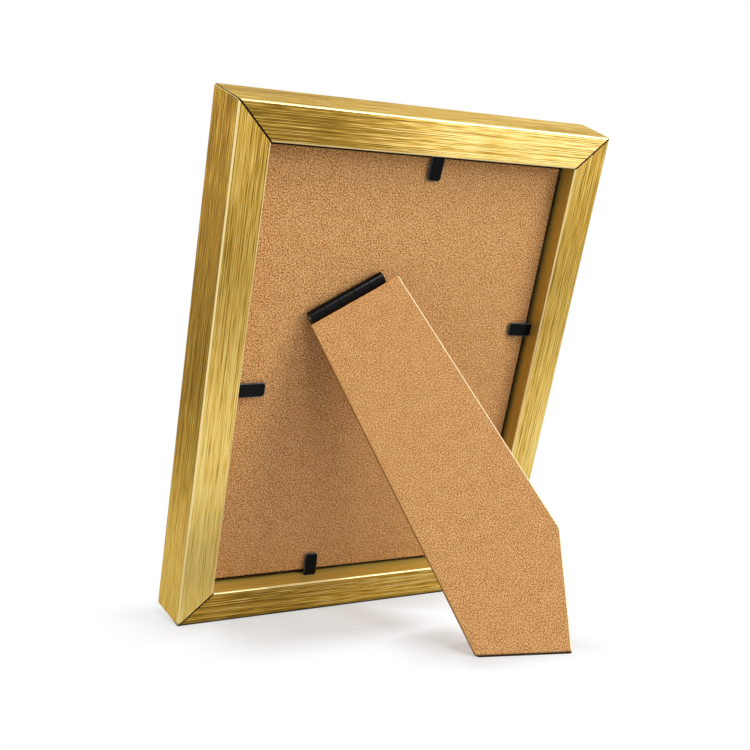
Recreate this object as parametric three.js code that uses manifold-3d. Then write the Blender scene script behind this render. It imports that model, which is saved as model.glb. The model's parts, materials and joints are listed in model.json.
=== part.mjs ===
// Tabletop picture frame: four mitred rails of hollow gold aluminium round a glazed print, a fibreboard back
// held by four bend-up steel tabs, and a two-way easel leg on a knuckle hinge.
// Millimetres, +Z up. The picture faces -Y, and the frame leans back towards +Y onto its leg.
// Left and right are as seen from the front, looking along +Y.
import * as THREE from 'three';
import { mergeVertices } from 'three/addons/utils/BufferGeometryUtils.js';
import Module from 'manifold-3d';

const wasm = await Module();
wasm.setup();

// Sheets that lie in the rebate, from the glass at the front to the board at the back
const PRINT_WIDTH = 130;
const PRINT_HEIGHT = 180;
const PRINT_THICKNESS = 0.3;
const SHEET_MARGIN = 0.4; // glass, filler and board reach this far past the print
const SHEET_PLAY = 1.1; // room round those sheets in the rebate
const GLASS_THICKNESS = 2;
const FILLER_THICKNESS = 4;
const BOARD_THICKNESS = 3;
const CLEARANCE = 0.3; // between pieces that seat on or in each other

// Rail section
const RAIL_WIDTH = 13.8; // back face, from the outer side to the rebate wall
const RAIL_DEPTH = 22;
const RAIL_FLARE = 1.8; // the outer side spreads by this much towards the front
const RAIL_WALL = 1.5;
const LIP_WIDTH = 5; // overlap in front of the glass
const LIP_THICKNESS = 3.3;
const EDGE_RADIUS = 0.85;
const MITRE_GAP = 0.3;

// Corner keys inside the rails
const KEY_ARM = 30; // from the frame's outer corner to the arm's end
const KEY_DEPTH = 10;
const KEY_NOSE = 3; // rounding of the arm's end, which leads it into the rail

// Bend-up tabs, one in each rail
const TAB_WIDTH = 5.8;
const TAB_THICKNESS = 0.9;
const TAB_CORNER = 1.4;
const TAB_LIFT = 1.6; // the bend's height above the board
const SHANK_WIDTH = 4.4;
const SHANK_LENGTH = 7;
const SHANK_TIP = 2;
const TABS = [
  { side: 'top', along: 5.5, reach: 10.6 },
  { side: 'bottom', along: 21.2, reach: 9.6 },
  { side: 'left', along: -20, reach: 10.7 },
  { side: 'right', along: -5.2, reach: 13.4 },
];

// Hinge
const HINGE_OFFSET = 25.1; // its middle, to the right of the frame's centre line
const HINGE_RISE = 33.5; // its middle, above the frame's middle
const HINGE_TILT = 31; // degrees
const BARREL_LENGTH = 33.8;
const BARREL_RADIUS = 2.5;
const KNUCKLE_COUNT = 5;
const PIN_RADIUS = 0.8;
const LEAF_THICKNESS = 0.8;
const LEAF_REACH = 14; // from the pin's axis to the leaf's far edge
const LEAF_INSET = 2.2; // the leaf's ends stand in from the barrel's ends
const LEAF_CORNER = 1.5;
const HEEL_LENGTH = 1.1; // lug on the leg's knuckles that meets the board when the leg is open
const HEEL_GAP = 0.1;
const SCREW_INSET = 5.7; // from the leaf's ends
const SCREW_RADIUS = 0.9;
const SCREW_HEAD_RADIUS = 1.6;
const SCREW_COVER = 0.9; // left of the board or leg beyond the screw's tip

// Easel leg and stance
const FRAME_LEAN = 20; // degrees back from upright
const LEG_OPEN = 40.3; // degrees between the leg and the board
const LEG_THICKNESS = 3;
const LEG_TOP_WIDTH = 40.2;
const LEG_OVERHANG = 1; // past the barrel's lower end
const LEG_FLARE = 5.4; // degrees that the long edge spreads by
const FOOT_WIDTH = 36; // portrait foot
const FOOT_ANGLE = 28.5; // degrees of the landscape foot, from the leg's straight edge
const LEG_EDGE = 0.4; // eased arris
const KNEE_RADIUS = 6;
const FOOT_RADIUS = 2.5;
const LEG_CORNER = 0.8;

// Facets
const ARRIS_STEPS = 3;
const CORNER_STEPS = 5;
const BARREL_STEPS = 28;
const ROUND_STEPS = 20;

// Sizes that follow
const sheetWidth = PRINT_WIDTH + 2 * SHEET_MARGIN;
const sheetHeight = PRINT_HEIGHT + 2 * SHEET_MARGIN;
const frameWidth = sheetWidth + 2 * (SHEET_PLAY + RAIL_WIDTH);
const frameHeight = sheetHeight + 2 * (SHEET_PLAY + RAIL_WIDTH);
const lean = THREE.MathUtils.degToRad(FRAME_LEAN);
const hingeTilt = THREE.MathUtils.degToRad(HINGE_TILT);
const legOpen = THREE.MathUtils.degToRad(LEG_OPEN);
const rebateFloor = LIP_THICKNESS - RAIL_DEPTH; // all depths are from the rails' back face at y = 0
const glassFront = rebateFloor + CLEARANCE;
const printFront = glassFront + GLASS_THICKNESS + CLEARANCE;
const fillerFront = printFront + PRINT_THICKNESS + CLEARANCE;
const boardFront = fillerFront + FILLER_THICKNESS + CLEARANCE;
const boardBack = boardFront + BOARD_THICKNESS;
const slotHeight = boardBack + TAB_LIFT;

const GOLD = { color: '#c9a468', roughness: 0.32, metalness: 1 };
const GLASS = { color: '#eef4f2', roughness: 0.03, metalness: 0, transparent: true, opacity: 0.25 };
const PAPER = { color: '#f4f1ea', roughness: 0.85, metalness: 0 };
const CARD = { color: '#b99a72', roughness: 0.9, metalness: 0 };
const BOARD = { color: '#b58a58', roughness: 0.8, metalness: 0 };
const LEG = { color: '#c79b66', roughness: 0.8, metalness: 0 };
const BLACK = { color: '#1b1a19', roughness: 0.42, metalness: 0.2 };
const STEEL = { color: '#8d8d8c', roughness: 0.35, metalness: 1 };
const ZINC = { color: '#a9a9a6', roughness: 0.5, metalness: 1 };

// Closed mesh to boolean solid and back
function solid(geometry) {
  const bare = geometry.clone();
  bare.deleteAttribute('normal');
  bare.deleteAttribute('uv');
  const merged = mergeVertices(bare);
  const corners = merged.index.array;
  const triangles = [];
  for (let i = 0; i < corners.length; i += 3) {
    const [a, b, c] = corners.subarray(i, i + 3);
    if (a !== b && b !== c && c !== a) triangles.push(a, b, c);
  }
  const vertProperties = merged.attributes.position.array;
  const triVerts = new Uint32Array(triangles);
  return new wasm.Manifold(new wasm.Mesh({ numProp: 3, vertProperties, triVerts }));
}

const cutBy = (body, cutters) => cutters.reduce((rest, cutter) => rest.subtract(cutter), body);

function geometryOf(body) {
  const { vertProperties, triVerts } = body.getMesh();
  const geometry = new THREE.BufferGeometry();
  geometry.setAttribute('position', new THREE.BufferAttribute(vertProperties, 3));
  geometry.setIndex(new THREE.BufferAttribute(triVerts, 1));
  geometry.computeVertexNormals();
  return geometry;
}

function addPiece(group, name, geometry, finish) {
  const mesh = new THREE.Mesh(geometry, new THREE.MeshStandardMaterial(finish));
  mesh.name = name;
  group.add(mesh);
}

// Outline through corners [x, y, radius], each rounded by a true arc
function softShape(corners) {
  const shape = new THREE.Shape();
  corners.forEach(([x, y, radius = 0], i) => {
    const here = new THREE.Vector2(x, y);
    const toLast = new THREE.Vector2(...corners.at(i - 1)).sub(here).normalize();
    const toNext = new THREE.Vector2(...corners[(i + 1) % corners.length]).sub(here).normalize();
    const half = Math.acos(THREE.MathUtils.clamp(toLast.dot(toNext), -1, 1)) / 2;
    const start = here.clone().addScaledVector(toLast, radius / Math.tan(half));
    if (i === 0) shape.moveTo(start.x, start.y);
    else shape.lineTo(start.x, start.y);
    if (radius === 0) return;
    const end = here.clone().addScaledVector(toNext, radius / Math.tan(half));
    const middle = toLast.clone().add(toNext).normalize().multiplyScalar(radius / Math.sin(half)).add(here);
    const angles = [start, end].map((point) => point.sub(middle).angle());
    shape.absarc(middle.x, middle.y, radius, ...angles, toLast.cross(toNext) > 0);
  });
  shape.closePath();
  return shape;
}

// Shape in z and y, extruded along a piece's own x axis
function along(shape, length, curveSegments) {
  const geometry = new THREE.ExtrudeGeometry(shape, { depth: length, bevelEnabled: false, curveSegments });
  return geometry.translate(0, 0, -length / 2).rotateY(-Math.PI / 2);
}

// Flat outline in x and z, with its outer face at the given y and both arrises eased
function plate(shape, thickness, outerFace, edge, curveSegments) {
  const options = { depth: thickness - 2 * edge, curveSegments, bevelEnabled: edge > 0, bevelSegments: 1 };
  Object.assign(options, { bevelThickness: edge, bevelSize: edge, bevelOffset: -edge });
  const geometry = new THREE.ExtrudeGeometry(shape, options).rotateX(Math.PI / 2);
  return geometry.translate(0, outerFace - edge, 0);
}

function box(low, high) {
  const size = high.map((value, i) => value - low[i]);
  const middle = high.map((value, i) => (value + low[i]) / 2);
  return new THREE.BoxGeometry(...size).translate(...middle);
}

const part = new THREE.Group();
// The frame itself: x across, y out of the back, z up from its lower back edge
const panel = new THREE.Group();
panel.rotation.x = -lean;
part.add(panel);

// Each side's frame: x along the rail, y out of the back, z inward from the outer edge
const SIDES = {
  bottom: { length: frameWidth, place: [0, 0, 0], turn: 0 },
  left: { length: frameHeight, place: [-frameWidth / 2, 0, frameHeight / 2], turn: Math.PI / 2 },
  top: { length: frameWidth, place: [0, 0, frameHeight], turn: Math.PI },
  right: { length: frameHeight, place: [frameWidth / 2, 0, frameHeight / 2], turn: -Math.PI / 2 },
};

function sideGroup({ place, turn }) {
  const group = new THREE.Group();
  group.position.set(...place);
  group.rotation.y = turn;
  panel.add(group);
  return group;
}

// Rails: an extruded hollow section with a rebate, mitred at both ends and slotted for its tab
function railShape() {
  const sight = RAIL_WIDTH + LIP_WIDTH;
  const shape = softShape([
    [0, 0, EDGE_RADIUS],
    [-RAIL_FLARE, -RAIL_DEPTH, EDGE_RADIUS],
    [sight, -RAIL_DEPTH, EDGE_RADIUS],
    [sight, rebateFloor, EDGE_RADIUS],
    [RAIL_WIDTH, rebateFloor],
    [RAIL_WIDTH, 0, EDGE_RADIUS],
  ]);
  const outerAt = (depth) => RAIL_WALL - (RAIL_FLARE * depth) / RAIL_DEPTH;
  const chamberFront = RAIL_DEPTH - RAIL_WALL;
  shape.holes.push(softShape([
    [outerAt(RAIL_WALL), -RAIL_WALL],
    [RAIL_WIDTH - RAIL_WALL, -RAIL_WALL],
    [RAIL_WIDTH - RAIL_WALL, -chamberFront],
    [outerAt(chamberFront), -chamberFront],
  ]));
  return shape;
}

function mitreCut(length, end) {
  const reach = 2 * (RAIL_DEPTH + RAIL_WIDTH + LIP_WIDTH);
  const waste = box([-MITRE_GAP / 2, -reach, -reach], [reach, reach, reach]);
  return solid(waste.rotateY(-Math.PI / 2 + (end * Math.PI) / 4).translate((end * length) / 2, 0, 0));
}

function rail({ length }, tab) {
  const bar = along(railShape(), length + 2 * RAIL_FLARE, ARRIS_STEPS);
  const halfWidth = SHANK_WIDTH / 2 + CLEARANCE;
  const halfHeight = TAB_THICKNESS / 2 + CLEARANCE;
  const slot = box(
    [tab.along - halfWidth, slotHeight - halfHeight, RAIL_WIDTH - 2 * RAIL_WALL],
    [tab.along + halfWidth, slotHeight + halfHeight, RAIL_WIDTH + RAIL_WALL],
  );
  return geometryOf(cutBy(solid(bar), [solid(slot), mitreCut(length, 1), mitreCut(length, -1)]));
}

// Tabs: a shank pressed through the rail's inner wall, and a tongue on the board that bends at the wall
function tabShank() {
  const half = SHANK_WIDTH / 2;
  const outline = softShape([
    [-half, 0],
    [-half, SHANK_TIP - SHANK_LENGTH],
    [-half / 2, -SHANK_LENGTH],
    [half / 2, -SHANK_LENGTH],
    [half, SHANK_TIP - SHANK_LENGTH],
    [half, 0],
  ]);
  return plate(outline, TAB_THICKNESS, TAB_THICKNESS / 2, 0, CORNER_STEPS);
}

function tabTongue(length) {
  const half = TAB_WIDTH / 2;
  const outline = softShape([[-half, 0], [half, 0], [half, length, TAB_CORNER], [-half, length, TAB_CORNER]]);
  const bend = new THREE.CylinderGeometry(TAB_THICKNESS / 2, TAB_THICKNESS / 2, TAB_WIDTH, ROUND_STEPS);
  const blade = solid(plate(outline, TAB_THICKNESS, TAB_THICKNESS / 2, 0, CORNER_STEPS));
  return geometryOf(blade.add(solid(bend.rotateZ(Math.PI / 2))));
}

for (const tab of TABS) {
  const side = sideGroup(SIDES[tab.side]);
  addPiece(side, `rail_${tab.side}`, rail(SIDES[tab.side], tab), GOLD);

  const root = new THREE.Group();
  root.position.set(tab.along, slotHeight, RAIL_WIDTH);
  side.add(root);
  addPiece(root, `tab_shank_${tab.side}`, tabShank(), BLACK);

  const bend = new THREE.Group();
  const bendOffset = CLEARANCE + TAB_THICKNESS / 2;
  const tongueLength = tab.reach - bendOffset;
  bend.position.z = bendOffset;
  bend.rotation.x = Math.asin((TAB_LIFT - bendOffset) / tongueLength);
  root.add(bend);
  addPiece(bend, `tab_tongue_${tab.side}`, tabTongue(tongueLength), BLACK);
}

// Corner keys: an angle in the hollow of the two rails that meet there
function cornerKey() {
  const outer = RAIL_WALL + CLEARANCE;
  const inner = RAIL_WIDTH - outer;
  const outline = softShape([
    [outer, outer],
    [KEY_ARM, outer, KEY_NOSE],
    [KEY_ARM, inner, KEY_NOSE],
    [inner, inner],
    [inner, KEY_ARM, KEY_NOSE],
    [outer, KEY_ARM, KEY_NOSE],
  ]);
  return plate(outline, KEY_DEPTH, -outer, 0, CORNER_STEPS);
}

const CORNERS = [
  { name: 'bottom_left', place: [-frameWidth / 2, 0, 0], turn: 0 },
  { name: 'top_left', place: [-frameWidth / 2, 0, frameHeight], turn: Math.PI / 2 },
  { name: 'top_right', place: [frameWidth / 2, 0, frameHeight], turn: Math.PI },
  { name: 'bottom_right', place: [frameWidth / 2, 0, 0], turn: -Math.PI / 2 },
];
for (const corner of CORNERS) addPiece(sideGroup(corner), `corner_key_${corner.name}`, cornerKey(), ZINC);

// Sheets, from the glass to the backing board
function sheet(width, height, front, thickness) {
  const middle = frameHeight / 2;
  return box([-width / 2, front, middle - height / 2], [width / 2, front + thickness, middle + height / 2]);
}

addPiece(panel, 'glazing', sheet(sheetWidth, sheetHeight, glassFront, GLASS_THICKNESS), GLASS);
addPiece(panel, 'print_sheet', sheet(PRINT_WIDTH, PRINT_HEIGHT, printFront, PRINT_THICKNESS), PAPER);
addPiece(panel, 'filler_card', sheet(sheetWidth, sheetHeight, fillerFront, FILLER_THICKNESS), CARD);

// Hinge frame: x along the pin, y out of the back, z up across the board, with the pin's axis at the origin
const axisLift = BARREL_RADIUS + CLEARANCE; // the pin's axis above the board
const legInner = LEAF_THICKNESS - BARREL_RADIUS; // the leg's inner face, level with the board leaf's top
const legOuter = legInner + LEG_THICKNESS;
const leafNear = -BARREL_RADIUS - CLEARANCE; // where the leaf's plate starts, clear of the other knuckles
const leafHalf = BARREL_LENGTH / 2 - LEAF_INSET;
const screwRow = (leafNear - LEAF_REACH) / 2;
const screwPlaces = [SCREW_INSET - leafHalf, leafHalf - SCREW_INSET];

const hinge = new THREE.Group();
hinge.position.set(HINGE_OFFSET, boardBack + axisLift, frameHeight / 2 + HINGE_RISE);
hinge.rotation.y = hingeTilt;
panel.add(hinge);

const leg = new THREE.Group();
leg.rotation.x = legOpen;
hinge.add(leg);

// Countersunk screw along -y with its head's top at y = 0; grown by the clearance it is its own hole
function screw(length, grow) {
  const profile = [
    [0, -length - grow],
    [SCREW_RADIUS / 2 + grow, -length - grow],
    [SCREW_RADIUS + grow, SCREW_RADIUS / 2 - length],
    [SCREW_RADIUS + grow, -LEAF_THICKNESS],
    [SCREW_HEAD_RADIUS + grow, 0],
    [SCREW_HEAD_RADIUS + grow, grow],
    [0, grow],
  ];
  return new THREE.LatheGeometry(profile.map((point) => new THREE.Vector2(...point)), ROUND_STEPS);
}

// A leaf's knuckles are rolled from its plate, whose lower face lies at the given y
const knucklePitch = BARREL_LENGTH / KNUCKLE_COUNT;

function knuckle(index, plateLow) {
  const plateTop = plateLow + LEAF_THICKNESS;
  const angleAt = (y) => Math.PI - Math.asin(THREE.MathUtils.clamp(y / BARREL_RADIUS, -1, 1));
  const webEnd = leafNear - LEAF_THICKNESS;
  const rolled = new THREE.Shape();
  rolled.moveTo(webEnd, plateLow);
  rolled.absarc(0, 0, BARREL_RADIUS, angleAt(plateLow), angleAt(plateTop) + 2 * Math.PI, false);
  rolled.lineTo(webEnd, plateTop);
  rolled.closePath();
  rolled.holes.push(new THREE.Path().absarc(0, 0, PIN_RADIUS + CLEARANCE, 0, 2 * Math.PI, true));
  const place = (index + 0.5) * knucklePitch - BARREL_LENGTH / 2;
  return solid(along(rolled, knucklePitch - CLEARANCE, BARREL_STEPS).translate(place, 0, 0));
}

function leaf(firstKnuckle, plateLow, drills) {
  const outline = softShape([
    [-leafHalf, leafNear],
    [-leafHalf, -LEAF_REACH, LEAF_CORNER],
    [leafHalf, -LEAF_REACH, LEAF_CORNER],
    [leafHalf, leafNear],
  ]);
  let body = solid(plate(outline, LEAF_THICKNESS, plateLow + LEAF_THICKNESS, 0, CORNER_STEPS));
  for (let i = firstKnuckle; i < KNUCKLE_COUNT; i += 2) body = body.add(knuckle(i, plateLow));
  return cutBy(body, drills);
}

// Board leaf, pin, screws and board
const boardScrewLength = LEAF_THICKNESS + CLEARANCE + BOARD_THICKNESS - SCREW_COVER;
const boardScrew = (x, grow) => screw(boardScrewLength, grow).translate(x, legInner, screwRow);
const boardDrills = screwPlaces.map((x) => boardScrew(x, CLEARANCE));
addPiece(hinge, 'hinge_board_leaf', geometryOf(leaf(0, -BARREL_RADIUS, boardDrills.map(solid))), BLACK);
const pin = new THREE.CylinderGeometry(PIN_RADIUS, PIN_RADIUS, BARREL_LENGTH, ROUND_STEPS);
addPiece(hinge, 'hinge_pin', pin.rotateZ(Math.PI / 2), STEEL);
screwPlaces.forEach((x, i) => {
  addPiece(hinge, `hinge_board_screw_${i + 1}`, geometryOf(solid(boardScrew(x, 0))), STEEL);
});

hinge.updateMatrix();
const boardHoles = boardDrills.map((drill) => solid(drill.applyMatrix4(hinge.matrix)));
const boardBlank = solid(sheet(sheetWidth, sheetHeight, boardFront, BOARD_THICKNESS));
addPiece(panel, 'backing_board', geometryOf(cutBy(boardBlank, boardHoles)), BOARD);

// Leg leaf, let into the leg's inner face, with a heel on each knuckle that stops the leg when it is open
const legScrew = (x, grow) => {
  return screw(LEG_THICKNESS - SCREW_COVER, grow).rotateX(Math.PI).translate(x, legInner, screwRow);
};
const legDrills = screwPlaces.map((x) => solid(legScrew(x, CLEARANCE)));
let legLeaf = leaf(1, legInner, legDrills);
for (let i = 1; i < KNUCKLE_COUNT; i += 2) {
  const low = i * knucklePitch - BARREL_LENGTH / 2 + CLEARANCE / 2;
  const high = low + knucklePitch - CLEARANCE;
  const heel = box([low, HEEL_GAP - axisLift, 0], [high, -PIN_RADIUS - CLEARANCE, HEEL_LENGTH]);
  legLeaf = legLeaf.add(solid(heel.rotateX(-legOpen)));
}
addPiece(leg, 'hinge_leg_leaf', geometryOf(legLeaf), BLACK);
screwPlaces.forEach((x, i) => {
  addPiece(leg, `hinge_leg_screw_${i + 1}`, geometryOf(solid(legScrew(x, 0))), STEEL);
});

// The floor is the level of the rails' lowest edge, and the leg's foot is cut to it
part.updateMatrixWorld(true);
const floor = new THREE.Box3().setFromObject(panel.getObjectByName('rail_bottom'), true).min.z;

// The leg's z where it meets the floor, at x on the face that is the last to meet it
function floorAt(x) {
  const [, , xz, , , , yz, , , , zz, , , , offset] = leg.matrixWorld.elements;
  const levels = [legInner, legOuter].map((y) => (floor - offset - xz * x - yz * y) / zz);
  return Math.min(...levels);
}

function easelLeg() {
  const longEdge = BARREL_LENGTH / 2 + LEG_OVERHANG;
  const straightEdge = longEdge - LEG_TOP_WIDTH;
  const floorSlope = floorAt(1) - floorAt(0);
  const spread = Math.tan(THREE.MathUtils.degToRad(LEG_FLARE));
  const portraitZ = (floorAt(longEdge) + floorSlope * spread * leafNear) / (1 + floorSlope * spread);
  const portraitX = longEdge + spread * (leafNear - portraitZ);
  const middleX = portraitX - FOOT_WIDTH / Math.hypot(1, floorSlope);
  const kneeRise = (middleX - straightEdge) / Math.tan(THREE.MathUtils.degToRad(FOOT_ANGLE));
  const outline = softShape([
    [longEdge, leafNear, LEG_CORNER],
    [straightEdge, leafNear, LEG_CORNER],
    [straightEdge, floorAt(middleX) + kneeRise, KNEE_RADIUS],
    [middleX, floorAt(middleX), LEG_CORNER],
    [portraitX, portraitZ, FOOT_RADIUS],
  ]);
  const blank = solid(plate(outline, LEG_THICKNESS, legOuter, LEG_EDGE, CORNER_STEPS));

  const pocketHalf = leafHalf + CLEARANCE;
  const pocketDepth = LEAF_THICKNESS + CLEARANCE;
  const pocket = box(
    [-pocketHalf, legInner - CLEARANCE, -LEAF_REACH - CLEARANCE],
    [pocketHalf, legInner + pocketDepth, 0],
  );
  const reach = frameWidth + frameHeight;
  const ground = box([-reach, -reach, floor - reach], [reach, reach, floor]);
  ground.applyMatrix4(leg.matrixWorld.clone().invert());
  return cutBy(blank, [...legDrills, solid(pocket), solid(ground)]);
}

addPiece(leg, 'easel_leg', geometryOf(easelLeg()), LEG);

// Origin at the middle of the stance
const bounds = new THREE.Box3().setFromObject(part, true);
const middle = bounds.getCenter(new THREE.Vector3());
part.position.set(-middle.x, -middle.y, -bounds.min.z);

export default part;
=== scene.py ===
"""A tabletop picture frame seen from behind, standing on its easel leg.

The sections follow the frame as it is put together: rails and keys, the sheets that they hold, the back with
its hinge and leg, and the tabs. Lengths are in metres unless a name ends in _mm.
"""

import json
import math

import bmesh
import bpy
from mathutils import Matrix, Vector

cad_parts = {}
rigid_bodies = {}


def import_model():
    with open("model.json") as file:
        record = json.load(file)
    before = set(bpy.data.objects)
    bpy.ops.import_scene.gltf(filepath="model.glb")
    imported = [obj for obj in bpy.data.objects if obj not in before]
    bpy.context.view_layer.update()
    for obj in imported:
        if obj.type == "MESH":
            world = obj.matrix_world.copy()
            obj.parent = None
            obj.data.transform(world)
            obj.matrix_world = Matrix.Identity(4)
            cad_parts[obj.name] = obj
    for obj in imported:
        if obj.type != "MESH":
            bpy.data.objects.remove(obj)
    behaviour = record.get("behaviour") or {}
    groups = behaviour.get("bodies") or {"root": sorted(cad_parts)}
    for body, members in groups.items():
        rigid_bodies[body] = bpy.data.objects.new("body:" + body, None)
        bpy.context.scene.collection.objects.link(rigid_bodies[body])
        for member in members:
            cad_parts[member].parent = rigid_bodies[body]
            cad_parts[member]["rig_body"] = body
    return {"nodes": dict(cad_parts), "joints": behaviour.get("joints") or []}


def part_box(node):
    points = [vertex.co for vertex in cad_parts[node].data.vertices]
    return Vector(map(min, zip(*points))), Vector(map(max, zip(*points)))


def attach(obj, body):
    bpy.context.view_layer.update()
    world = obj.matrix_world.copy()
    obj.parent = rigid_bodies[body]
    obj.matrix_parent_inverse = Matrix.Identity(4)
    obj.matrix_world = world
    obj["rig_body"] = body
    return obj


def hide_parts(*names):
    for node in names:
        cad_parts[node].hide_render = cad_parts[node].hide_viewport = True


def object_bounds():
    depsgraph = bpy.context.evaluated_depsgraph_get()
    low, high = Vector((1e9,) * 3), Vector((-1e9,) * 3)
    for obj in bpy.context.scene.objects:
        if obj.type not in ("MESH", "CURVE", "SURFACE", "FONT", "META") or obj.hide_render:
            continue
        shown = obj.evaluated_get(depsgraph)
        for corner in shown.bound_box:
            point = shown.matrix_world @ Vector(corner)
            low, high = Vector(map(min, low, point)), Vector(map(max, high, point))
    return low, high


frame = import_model()
cad_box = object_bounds()


# Rails
# Four lengths of hollow aluminium moulding, brushed along their length and gold anodised.
# They are mitred at the saw, and keys pressed into their hollows draw the corners together.
mm = 0.001
weld_mm = 0.002
flat_deg = 0.5
sharp_deg = 32
rail_edge_mm = 0.25


def linear(hex_colour):
    """An sRGB hex colour as linear red, green, blue and alpha."""
    channels = [int(hex_colour[i : i + 2], 16) / 255 for i in (1, 3, 5)]
    return (*[c / 12.92 if c <= 0.04045 else ((c + 0.055) / 1.055) ** 2.4 for c in channels], 1.0)


def add_node(tree, kind, inputs, **settings):
    """Adds a node with its settings. An input is given by name or number, as a value or as a socket to link.

    A Mix node takes its share as input 0, numbers as 2 and 3 and colours as 6 and 7. It gives a number as
    output 0 and a colour as output 2.
    """
    node = tree.nodes.new("ShaderNode" + kind)
    for name, value in settings.items():
        setattr(node, name, value)
    for name, value in inputs.items():
        if isinstance(value, bpy.types.NodeSocket):
            tree.links.new(value, node.inputs[name])
        else:
            node.inputs[name].default_value = value
    return node


def new_material(name):
    """A material with an empty node tree, and that tree."""
    material = bpy.data.materials.new(name)
    material.use_nodes = True
    material.node_tree.nodes.clear()
    return material, material.node_tree


def eased_copy(node, material, edge_mm, segments=2):
    """The solid of a CAD node in whole faces, its sharp edges eased as by a tool or a coat of paint."""
    cad = frame["nodes"][node]
    mesh = bpy.data.meshes.new(node + "_finished")
    work = bmesh.new()
    work.from_mesh(cad.data)
    bmesh.ops.remove_doubles(work, verts=work.verts, dist=weld_mm * mm)
    bmesh.ops.dissolve_limit(work, angle_limit=math.radians(flat_deg), verts=work.verts, edges=work.edges)
    sharp = [e for e in work.edges if e.is_manifold and e.calc_face_angle() > math.radians(sharp_deg)]
    eased = work.faces.layers.float.new("eased")
    bevel = bmesh.ops.bevel(
        work,
        geom=sharp,
        offset=edge_mm * mm,
        segments=segments,
        profile=0.5,
        affect="EDGES",
        clamp_overlap=True,
    )
    for face in bevel["faces"]:
        face[eased] = 1.0
    for face in work.faces:
        face.smooth = True
    work.to_mesh(mesh)
    work.free()
    mesh.set_sharp_from_angle(angle=math.radians(sharp_deg))
    mesh.materials.append(material)
    piece = bpy.data.objects.new(node + "_finished", mesh)
    bpy.context.scene.collection.objects.link(piece)
    normals = piece.modifiers.new("flat_faces", "WEIGHTED_NORMAL")
    normals.keep_sharp = True
    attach(piece, cad["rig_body"])
    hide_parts(node)
    return piece


def lay_grain(piece, along):
    """A map of each face in metres, u across the grain and v along it, for patterns and the sheen's turn."""
    mesh = piece.data
    grain = mesh.uv_layers.new(name="grain")
    for face in mesh.polygons:
        crosswise = face.normal.cross(along).normalized()
        for corner in face.loop_indices:
            point = mesh.vertices[mesh.loops[corner].vertex_index].co
            grain.data[corner].uv = (point.dot(crosswise), point.dot(along))


def span_of(node, along):
    """Where the solid of a CAD node starts and ends along a direction."""
    places = [vertex.co.dot(along) for vertex in frame["nodes"][node].data.vertices]
    return min(places), max(places)


joint_axes = {joint["name"]: Vector(joint["axis"]) for joint in frame["joints"]}
panel_up = joint_axes["tab_left_bend"]
panel_across = Vector((1, 0, 0))
lean = math.atan2(panel_up.y, panel_up.z)
upright_boxes = [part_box("rail_left"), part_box("rail_right")]
panel_middle = sum((corner for box in upright_boxes for corner in box), Vector()) / 4
upright_low, upright_high = span_of("rail_left", panel_up)
level_low, level_high = span_of("rail_top", panel_across)
upright_middle = (upright_low + upright_high) / 2
taller_by = (upright_high - upright_low) / 2 - (level_high - level_low) / 2

# Length and width of short, middling and long scratches. Real ones are 0.05 mm wide: these are drawn four to
# seven times as wide, so that they show from a step away.
scratches_mm = [(10, 0.2), (40, 0.25), (150, 0.33)]
middling_share = 0.5
long_share = 0.35
dye_tones = [0.2, 0.37, 0.5, 0.63, 0.8]
front_tone = 0.47
front_scratches = 0.6
# Painted sheen and shade: the share of the tone's shift along the back that other faces take, and the outer
# sides' painted shift, lighter at the first place along the rail and darker at the second.
sheen_off_the_back = 0.2
side_shade_ends = (0.01, 0.08)
side_shade_tones = (0.09, -0.06)
inward_reach = (0.02, 0.03)
# Painted light: inner walls paler than the faces, up to this share of this colour.
inner_wall_light = "#dbbd5c"
inner_light_share = 0.6
# Arrises: partly bare worn metal, partly painted highlight.
rubbed_and_highlight_gold = "#ffe9a8"
# Near black for painted shade at the mitres and where the rails meet the floor.
mitre_and_contact_shade = "#0e0a04"
mitre_shade_line_mm = (0.6, 0.4)
# Painted contact shade along the rails' lowest edge: from this height above the floor to full.
contact_shade_height_mm = (1.8, 0.4)
groove_depth_mm = 0.03


def brush_marks(tree, laid):
    """Scratches for gloss and grooves, and the same with the long ones mixed in, for colour."""
    layers = []
    for length_mm, width_mm in scratches_mm:
        scale = (1 / (width_mm * mm), 1 / (length_mm * mm), 0)
        stretched = add_node(tree, "VectorMath", {0: laid, 1: scale}, operation="MULTIPLY")
        noise = {"Vector": stretched.outputs[0], "Scale": 1, "Detail": 0}
        layers.append(add_node(tree, "TexNoise", noise, noise_dimensions="2D").outputs["Fac"])
    short, middling, long = layers
    scratches = {0: middling_share, 2: short, 3: middling}
    scratches = add_node(tree, "Mix", scratches, data_type="FLOAT").outputs[0]
    tone = {0: long_share, 2: scratches, 3: long}
    tone = add_node(tree, "Mix", tone, data_type="FLOAT").outputs[0]
    return scratches, tone


def upright_normal(tree, normal):
    """The normal's parts, signed and unsigned, with the frame upright: x across, y to the back, z up."""
    facing = {"Vector": normal, "Rotation": (lean, 0, 0)}
    facing = add_node(tree, "Mapping", facing, vector_type="VECTOR").outputs["Vector"]
    signed = add_node(tree, "SeparateXYZ", {"Vector": facing})
    unsigned = add_node(tree, "VectorMath", {0: facing}, operation="ABSOLUTE")
    unsigned = add_node(tree, "SeparateXYZ", {"Vector": unsigned.outputs[0]})
    return signed.outputs, unsigned.outputs


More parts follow.
